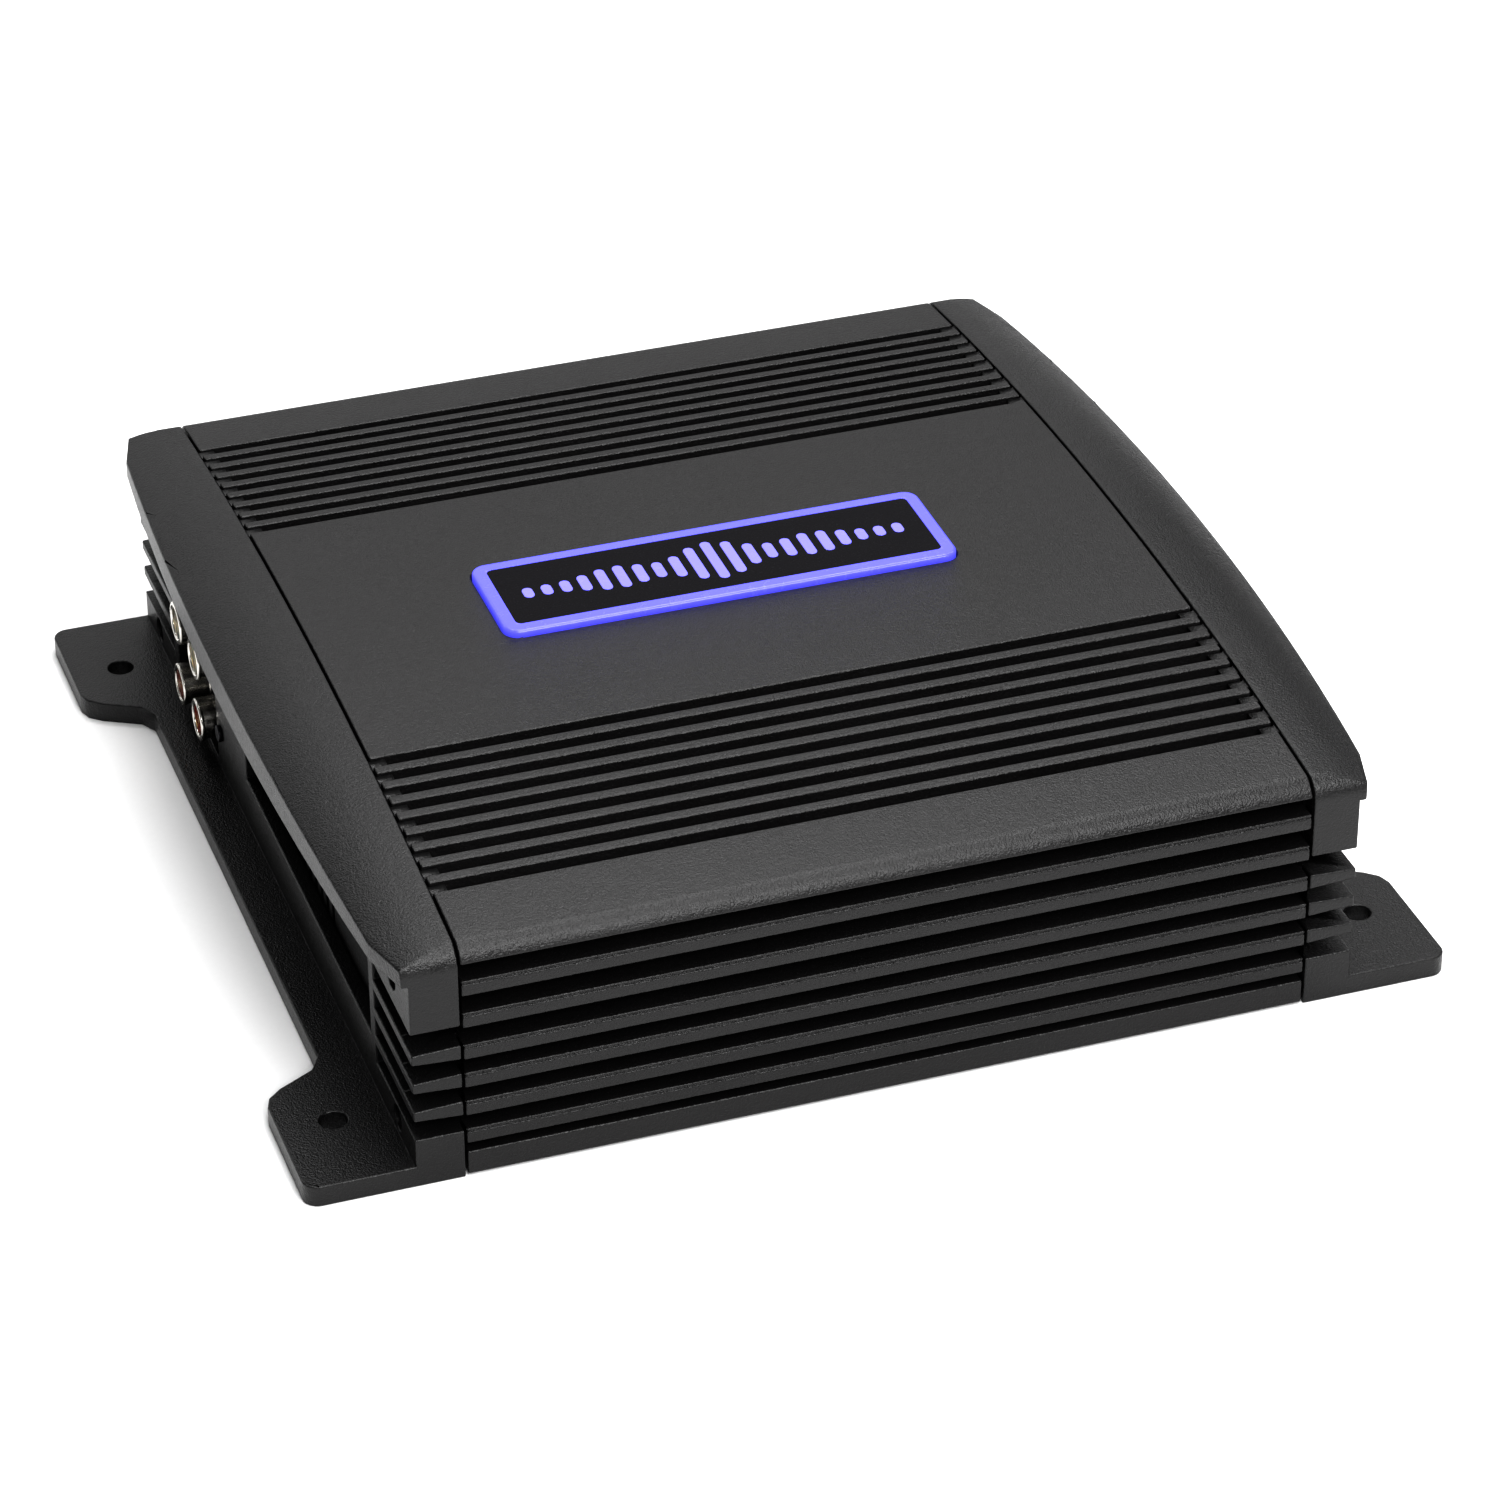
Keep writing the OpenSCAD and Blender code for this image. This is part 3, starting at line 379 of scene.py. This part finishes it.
def welded():
    """Joins the split vertices of an imported mesh and shades it smooth throughout."""
    tree, source, result = tree_of("welded")
    merge = tree.nodes.new("GeometryNodeMergeByDistance")
    merge.inputs["Distance"].default_value = 2e-6
    plain = tree.nodes.new("GeometryNodeRemoveAttribute")
    plain.inputs["Name"].default_value = "custom_normal"
    smooth = tree.nodes.new("GeometryNodeSetShadeSmooth")
    tree.links.new(source, merge.inputs["Geometry"])
    tree.links.new(merge.outputs["Geometry"], plain.inputs["Geometry"])
    tree.links.new(plain.outputs["Geometry"], smooth.inputs["Geometry"])
    tree.links.new(smooth.outputs["Geometry"], result)
    return tree


def compare(tree, value, limit):
    node = tree.nodes.new("FunctionNodeCompare")
    node.data_type, node.operation = "FLOAT", "GREATER_THAN"
    tree.links.new(value, node.inputs[0])
    node.inputs[1].default_value = limit
    return node.outputs[0]


def arith(tree, operation, a, b):
    node = tree.nodes.new("ShaderNodeMath")
    node.operation = operation
    for socket, value in zip(node.inputs, (a, b)):
        if isinstance(value, bpy.types.NodeSocket):
            tree.links.new(value, socket)
        else:
            socket.default_value = value
    return node.outputs[0]


SHARP = math.radians(30)  # an edge flatter than this isn't rounded
SHORT = 0.25 * MM  # nor is one shorter than this
CAP_START = 0.0803  # the end caps are rounded only further out than this along x
BADGE_HALF_X, BADGE_HALF_Y = 0.0424, 0.0104  # the badge frame's outer edge lies beyond these
FRAME_OUT, FRAME_UP = 1.3 * MM, 55.2 * MM  # by this much, and above this height
FAINT = 0.12  # share of the rounding that the badge's other edges get


def edge_choice(name, beyond_x=0.0, frame_only=False):
    """Weights the edges that get rounded: sharp ones that aren't short, further out along x than
    beyond_x where that is given, and with frame_only fully only on the badge frame's outer edge."""
    tree, source, result = tree_of(name)
    angle = tree.nodes.new("GeometryNodeInputMeshEdgeAngle").outputs["Unsigned Angle"]
    ends = tree.nodes.new("GeometryNodeInputMeshEdgeVertices")
    length = tree.nodes.new("ShaderNodeVectorMath")
    length.operation = "DISTANCE"
    tree.links.new(ends.outputs["Position 1"], length.inputs[0])
    tree.links.new(ends.outputs["Position 2"], length.inputs[1])
    place = tree.nodes.new("ShaderNodeSeparateXYZ")
    tree.links.new(ends.outputs["Position 1"], place.inputs[0])
    x, y, z = place.outputs
    weight = arith(tree, "MULTIPLY", compare(tree, angle, SHARP),
                   compare(tree, length.outputs["Value"], SHORT))
    if beyond_x:
        far_x = compare(tree, arith(tree, "ABSOLUTE", x, 0.0), beyond_x)
        weight = arith(tree, "MULTIPLY", weight, far_x)
    if frame_only:
        out_x = arith(tree, "SUBTRACT", arith(tree, "ABSOLUTE", x, 0.0), BADGE_HALF_X)
        out_y = arith(tree, "SUBTRACT", arith(tree, "ABSOLUTE", y, 0.0), BADGE_HALF_Y)
        outer = compare(tree, arith(tree, "MAXIMUM", out_x, out_y), FRAME_OUT)
        outer = arith(tree, "MULTIPLY", outer, compare(tree, z, FRAME_UP))
        weight = arith(tree, "MULTIPLY", weight, arith(tree, "MAXIMUM", outer, FAINT))
    store = tree.nodes.new("GeometryNodeStoreNamedAttribute")
    store.data_type, store.domain = "FLOAT", "EDGE"
    store.inputs["Name"].default_value = "bevel_weight_edge"
    tree.links.new(source, store.inputs["Geometry"])
    tree.links.new(weight, store.inputs["Value"])
    tree.links.new(store.outputs["Geometry"], result)
    return tree


WELDED = welded()
ANY_EDGE = edge_choice("edges")
CAP_EDGE = edge_choice("cap_edges", beyond_x=CAP_START)
BADGE_EDGE = edge_choice("badge_edges", frame_only=True)


def soften(piece, width, choice, segments):
    """Welds, clears the flats of needless edges, and rounds the sharp edges by width millimetres."""
    piece.modifiers.new("weld", "NODES").node_group = WELDED
    flats = piece.modifiers.new("flats", "DECIMATE")
    flats.decimate_type, flats.angle_limit = "DISSOLVE", math.radians(0.2)
    piece.modifiers.new("choice", "NODES").node_group = choice
    bevel = piece.modifiers.new("round", "BEVEL")
    bevel.width, bevel.segments, bevel.limit_method = width * MM, segments, "WEIGHT"
    bevel.use_clamp_overlap = False
    normals = piece.modifiers.new("normals", "WEIGHTED_NORMAL")
    normals.keep_sharp = False


FINE_EDGE = 0.12  # rounding in millimetres of a piece that isn't listed below
EDGES = {"heatsink": 0.34, "bottom_plate": 0.15, "left_panel": 0.1, "right_panel": 0.15,
         "badge_face": 0.05, "power_terminal_block": 0.25, "speaker_terminal_block": 0.25,
         "fuse_holder": 0.25, "upper_fuse_body": 0.3, "lower_fuse_body": 0.3, "phono_housing": 0.2,
         "upper_fuse_blades": 0.08, "lower_fuse_blades": 0.08, "insulator_pads": 0.05, "status_leds": 0.05}
CHOICES = {"left_end_cap": (0.35, CAP_EDGE), "right_end_cap": (0.35, CAP_EDGE),
           "badge_light_guide": (0.7, BADGE_EDGE)}
for name, node in nodes.items():
    width, choice = CHOICES.get(name, (EDGES.get(name, FINE_EDGE), ANY_EDGE))
    soften(node, width, choice, 3 if choice is BADGE_EDGE else 2)

# ---- Fine pieces that ride on the case and on the knobs ----------------------------------------

scene = bpy.context.scene
END_FACE = 86.5  # where the faces of both connector panels lie, from the middle
PRINT = 0.05  # height of the printed marks above a panel
SUNK = 0.02  # how far those marks reach into the panel
STROKE = 0.3  # width of a printed line
TIP_STEPS = 6  # flats round the end of a line
ARC_STEP = 8  # degrees that one flat of an arc takes, at most about


def new_piece(name, body, slot, build):
    """A piece whose mesh build(bmesh) makes in millimetres, riding on that body."""
    mesh = bpy.data.meshes.new(name)
    made = bmesh.new()
    build(made)
    bmesh.ops.recalc_face_normals(made, faces=made.faces)
    bmesh.ops.scale(made, vec=(MM, MM, MM), verts=made.verts)
    made.to_mesh(mesh)
    made.free()
    mesh.materials.append(finishes[slot])
    piece = bpy.data.objects.new(name, mesh)
    scene.collection.objects.link(piece)
    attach(piece, body)


def slab(made, outline, x0, x1):
    """A closed slab between two planes of x, with an outline of (y, z) points."""
    rings = [[made.verts.new((x, y, z)) for y, z in outline] for x in (x0, x1)]
    made.faces.new(rings[0])
    made.faces.new(rings[1])
    for i in range(len(outline)):
        j = (i + 1) % len(outline)
        made.faces.new((rings[0][i], rings[0][j], rings[1][j], rings[1][i]))


def stroke(made, start, end, x0, x1, width):
    """A straight printed line with round ends."""
    run = Vector(end) - Vector(start)
    heading = math.atan2(run.y, run.x)
    half = width / 2
    outline = []
    for tip, turn in ((end, -math.pi / 2), (start, math.pi / 2)):
        for i in range(TIP_STEPS + 1):
            angle = heading + turn + i * math.pi / TIP_STEPS
            outline.append((tip[0] + half * math.cos(angle), tip[1] + half * math.sin(angle)))
    slab(made, outline, x0, x1)


def arc(made, centre, radius, first, last, x0, x1, width):
    """A printed arc between two angles in degrees from +z towards +y."""
    steps = max(8, round(abs(last - first) / ARC_STEP))
    turns_at = [math.radians(first + (last - first) * i / steps) for i in range(steps + 1)]
    outer, inner = radius + width / 2, radius - width / 2
    outline = [(centre[0] + outer * math.sin(t), centre[1] + outer * math.cos(t)) for t in turns_at]
    outline += [(centre[0] + inner * math.sin(t), centre[1] + inner * math.cos(t))
                for t in reversed(turns_at)]
    slab(made, outline, x0, x1)


class Print:
    """Marks printed on one end panel: side is -1 on the left and 1 on the right."""

    def __init__(self, made, side):
        self.made = made
        self.planes = (side * (END_FACE - SUNK), side * (END_FACE + PRINT))

    def line(self, *points, width=STROKE):
        for start, end in zip(points, points[1:]):
            stroke(self.made, start, end, *self.planes, width)

    def arc(self, centre, radius, first, last, width=STROKE):
        arc(self.made, centre, radius, first, last, *self.planes, width)

    def icon(self, centre, *points, size=1.0):
        """A line drawn through points given round the icon's centre."""
        self.line(*[(centre[0] + size * u, centre[1] + size * v) for u, v in points])


def centre_of(node):
    """The middle of a node's box in millimetres."""
    low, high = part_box(node)
    return tuple((a + b) / 2 / MM for a, b in zip(low, high))


KNOBS = ("gain_knob", "low_pass_knob", "high_pass_knob", "bass_knob")
ICONS = {  # drawn under each knob: level wedge, falling and rising curves, hump
    "gain_knob": ((-1.5, -0.6), (1.5, -0.6), (1.5, 0.8), (-1.5, -0.6)),
    "low_pass_knob": ((1.5, 0.6), (-0.1, 0.6), (-1.5, -0.8)),
    "high_pass_knob": ((-1.5, 0.6), (0.1, 0.6), (1.5, -0.8)),
    "bass_knob": ((-1.6, -0.6), (-0.8, -0.5), (0.0, 0.8), (0.8, -0.5), (1.6, -0.6)),
}


SWEEP = 140  # degrees that a knob turns to either side
TICKS = 11  # on each knob's scale
SCALE_R, TICK_IN, TICK_OUT, LONG_TICK_OUT = 3.8, 3.9, 4.4, 4.75  # radii of the arc and its ticks
ICON_DROP = 5.9  # from a knob's middle down to its icon
SLIDER_MID, SLIDER_STEP = 1.5, 2.2  # half a slider's 3 mm throw, and the spacing of its ticks
SLIDER_TICK_LOW, SLIDER_TICK_HIGH = 29.6, 30.3  # heights of those ticks' ends
SOCKET_HALF_PITCH = 6.9
ARROW_HEIGHT = 32.6  # of the arrows above the sockets


def left_marks(made):
    """Scales round the knobs, and plain signs for the controls and sockets."""
    ink = Print(made, -1)
    for name in KNOBS:
        _, y, z = centre_of(name)
        ink.arc((y, z), SCALE_R, -SWEEP, SWEEP, 0.22)
        for i in range(TICKS):
            turn = math.radians(-SWEEP + 2 * SWEEP // (TICKS - 1) * i)
            far = LONG_TICK_OUT if i % 5 == 0 else TICK_OUT
            ink.line((y + TICK_IN * math.sin(turn), z + TICK_IN * math.cos(turn)),
                     (y + far * math.sin(turn), z + far * math.cos(turn)), width=0.24)
        ink.icon((y, z - ICON_DROP), *ICONS[name], size=0.85)
    for name in ("crossover_slider", "input_level_slider"):
        _, y, _ = centre_of(name)
        for i in (-1, 0, 1):
            tick = y + SLIDER_MID + SLIDER_STEP * i
            ink.line((tick, SLIDER_TICK_LOW), (tick, SLIDER_TICK_HIGH), width=0.26)
    _, y, _ = centre_of("phono_shells")
    for side, way in ((-1, 1), (1, -1)):
        at = (y + side * SOCKET_HALF_PITCH, ARROW_HEIGHT)
        ink.icon(at, (0.0, 1.3 * way), (0.0, -1.3 * way))
        ink.icon(at, (-0.8, -0.4 * way), (0.0, -1.3 * way), (0.8, -0.4 * way))


POWER_SIGN_RISE, SPEAKER_SIGN_RISE = 3.0, 2.8  # from a terminal block's top to its signs
BRACKET_LOW, BRACKET_HIGH = 5.2, 6.0  # the same for the ends and the bar of a pair's bracket
FUSE_SIGN_Y = -18.6
LAMP_Y, LAMP_Z, LAMP_RING_R = 6.0, 33.5, 2.3  # the two lamps' places, and the rings round them


def right_marks(made):
    """Plain electrical signs over the terminals, the fuses and the lamps."""
    ink = Print(made, 1)
    plus = (((-1.1, 0.0), (1.1, 0.0)), ((0.0, -1.1), (0.0, 1.1)))
    minus = (((-1.1, 0.0), (1.1, 0.0)),)
    earth = (((0.0, 1.2), (0.0, 0.1)), ((-1.3, 0.1), (1.3, 0.1)), ((-0.85, -0.5), (0.85, -0.5)),
             ((-0.4, -1.1), (0.4, -1.1)))
    above_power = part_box("power_terminal_block")[1][2] / MM
    above_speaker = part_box("speaker_terminal_block")[1][2] / MM
    for name, sign in (("battery_screw", plus), ("ground_screw", earth)):
        for part in sign:
            ink.icon((centre_of(name)[1], above_power + POWER_SIGN_RISE), *part)
    remote = (centre_of("remote_screw")[1], above_power + POWER_SIGN_RISE)
    ink.arc(remote, 1.15, 35, 325)
    ink.icon(remote, (0.0, 0.3), (0.0, 1.5))
    ends = [centre_of("speaker_screw_%d" % i)[1] for i in (1, 2, 3, 4)]
    for y, sign in zip(ends, (plus, minus, plus, minus)):
        for part in sign:
            ink.icon((y, above_speaker + SPEAKER_SIGN_RISE), *part)
    low, high = above_speaker + BRACKET_LOW, above_speaker + BRACKET_HIGH
    for left, right in (ends[:2], ends[2:]):
        ink.line((left, low), (left, high), (right, high), (right, low))
    for name in ("upper_fuse_body", "lower_fuse_body"):
        _, _, z = centre_of(name)
        ink.icon((FUSE_SIGN_Y, z), (-1.6, -0.7), (1.6, -0.7), (1.6, 0.7), (-1.6, 0.7), (-1.6, -0.7))
        ink.icon((FUSE_SIGN_Y, z), (-2.4, 0.0), (2.4, 0.0))
    for y in (-LAMP_Y, LAMP_Y):
        ink.arc((y, LAMP_Z), LAMP_RING_R, 0, 170)
        ink.arc((y, LAMP_Z), LAMP_RING_R, 180, 350)


new_piece("left_panel_marks", "case", "slider_white", left_marks)
new_piece("right_panel_marks", "case", "slider_white", right_marks)


POINTER_BACK, POINTER_FRONT = -87.45, -87.75  # x of the pointer's two faces
POINTER_BELOW, POINTER_ABOVE = 1.6, 2.5  # from the knob's axis to the middles of its round ends
POINTER_WIDTH = 0.6


def pointer(name):
    """The white line inlaid in a knob's notch."""
    _, y, z = centre_of(name)

    def build(made):
        start, end = (y, z - POINTER_BELOW), (y, z + POINTER_ABOVE)
        stroke(made, start, end, POINTER_BACK, POINTER_FRONT, POINTER_WIDTH)

    new_piece(name + "_pointer", name, "slider_white", build)


for name in KNOBS:
    pointer(name)


SHELL_R = 4.15  # outer radius of a phono shell
RIM_STEPS = 56  # flats round a rim
# The rim's section, as radius and how far out of the socket's mouth
RIM_SECTION = ((4.16, -0.6), (4.28, -0.45), (4.3, -0.1), (4.2, 0.1), (3.95, 0.2),
               (3.55, 0.2), (3.3, 0.1), (3.2, -0.1), (3.22, -0.4), (3.36, -0.6))


def phono_rims(made):
    """A rolled rim on the mouth of each socket's shell: its section turned about the axis."""
    low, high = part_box("phono_shells")
    face = low[0] / MM
    for y in (low[1] / MM + SHELL_R, high[1] / MM - SHELL_R):
        for z in (low[2] / MM + SHELL_R, high[2] / MM - SHELL_R):
            rings = []
            for i in range(RIM_STEPS):
                t = 2 * math.pi * i / RIM_STEPS
                rings.append([made.verts.new((face - out, y + r * math.cos(t), z + r * math.sin(t)))
                              for r, out in RIM_SECTION])
            for i, ring in enumerate(rings):
                ahead = rings[(i + 1) % len(rings)]
                for j in range(len(RIM_SECTION)):
                    k = (j + 1) % len(RIM_SECTION)
                    made.faces.new((ring[j], ring[k], ahead[k], ahead[j]))
    for face_made in made.faces:
        face_made.smooth = True


new_piece("phono_rims", "case", "nickel", phono_rims)

# ---- Light, floor and camera ----------------------------------------------------------------

scene.view_settings.view_transform = "Standard"
scene.view_settings.look = "High Contrast"


def studio_floor():
    mesh = bpy.data.meshes.new("floor")
    made = bmesh.new()
    bmesh.ops.create_grid(made, x_segments=1, y_segments=1, size=6.0)
    made.to_mesh(mesh)
    made.free()
    floor = bpy.data.objects.new("floor", mesh)
    scene.collection.objects.link(floor)
    f = Finish("studio_white")
    paper = f.noise(900.0, 3.0, 0.6)
    f.set(Base_Color=f.mix(paper, (0.88, 0.88, 0.88), (0.92, 0.92, 0.92)))
    f.set(Roughness=0.9, Specular_IOR_Level=0.2)
    mesh.materials.append(f.material)


studio_floor()


def softbox(name, at, towards, size, radiance):
    """A rectangular white light of that size in metres, with its brightness as a radiance."""
    lamp = bpy.data.lights.new(name, "AREA")
    lamp.shape, lamp.size, lamp.size_y = "RECTANGLE", *size
    lamp.energy = radiance * math.pi * size[0] * size[1]
    light = bpy.data.objects.new(name, lamp)
    light.location = at
    light.rotation_mode = "QUATERNION"
    light.rotation_quaternion = (Vector(towards) - Vector(at)).to_track_quat("-Z", "Y")
    scene.collection.objects.link(light)


softbox("front_high", (0.10, -0.80, 0.62), (0.0, -0.05, 0.03), (0.8, 0.3), 10.0)
softbox("front_overhead", (0.14, -0.42, 0.66), (0.02, -0.08, 0.03), (0.70, 0.22), 2.5)
softbox("overhead", (0.08, -0.12, 0.70), (0.02, -0.08, 0.0), (0.70, 0.16), 6.5)
softbox("top_back", (0.05, 0.30, 0.85), (0.0, 0.0, 0.05), (0.7, 0.3), 5.6)
softbox("back_wall", (0.10, 1.10, 0.62), (0.0, 0.0, 0.05), (1.5, 0.85), 0.76)
softbox("back_left", (-0.60, 0.80, 0.42), (-0.08, 0.0, 0.04), (0.4, 0.3), 0.9)
softbox("right", (0.62, 0.20, 0.62), (0.08, -0.05, 0.04), (0.22, 0.22), 6.0)

world = bpy.data.worlds.new("studio")
scene.world = world
world.use_nodes = True
background = world.node_tree.nodes["Background"]
background.inputs["Color"].default_value = (1.0, 1.0, 1.0, 1.0)
background.inputs["Strength"].default_value = 0.15


CAMERA_AZIMUTH, CAMERA_ELEVATION, CAMERA_ROLL = -18.83, 32.37, -0.26  # degrees
CAMERA_AIM = (-0.00092, -0.02294, 0.0270)  # a point on the line of sight
CAMERA_DISTANCE = 1.02169  # from that point


def aim_camera():
    """The camera stands in front, a little to the left, and looks down at the case."""
    data = bpy.data.cameras.new("camera")
    data.sensor_width, data.lens = 36.0, 129.58
    data.clip_start, data.clip_end = 0.05, 20.0
    data.shift_x, data.shift_y = 0.0, -0.0018
    camera = bpy.data.objects.new("camera", data)
    azimuth, elevation, roll = map(math.radians, (CAMERA_AZIMUTH, CAMERA_ELEVATION, CAMERA_ROLL))
    flat = math.cos(elevation)
    back = Vector((math.sin(azimuth) * flat, -math.cos(azimuth) * flat, math.sin(elevation)))
    camera.matrix_world = (Matrix.Translation(Vector(CAMERA_AIM) + back * CAMERA_DISTANCE)
                           @ (-back).to_track_quat("-Z", "Y").to_matrix().to_4x4()
                           @ Matrix.Rotation(roll, 4, "Z"))
    scene.collection.objects.link(camera)
    scene.camera = camera


aim_camera()
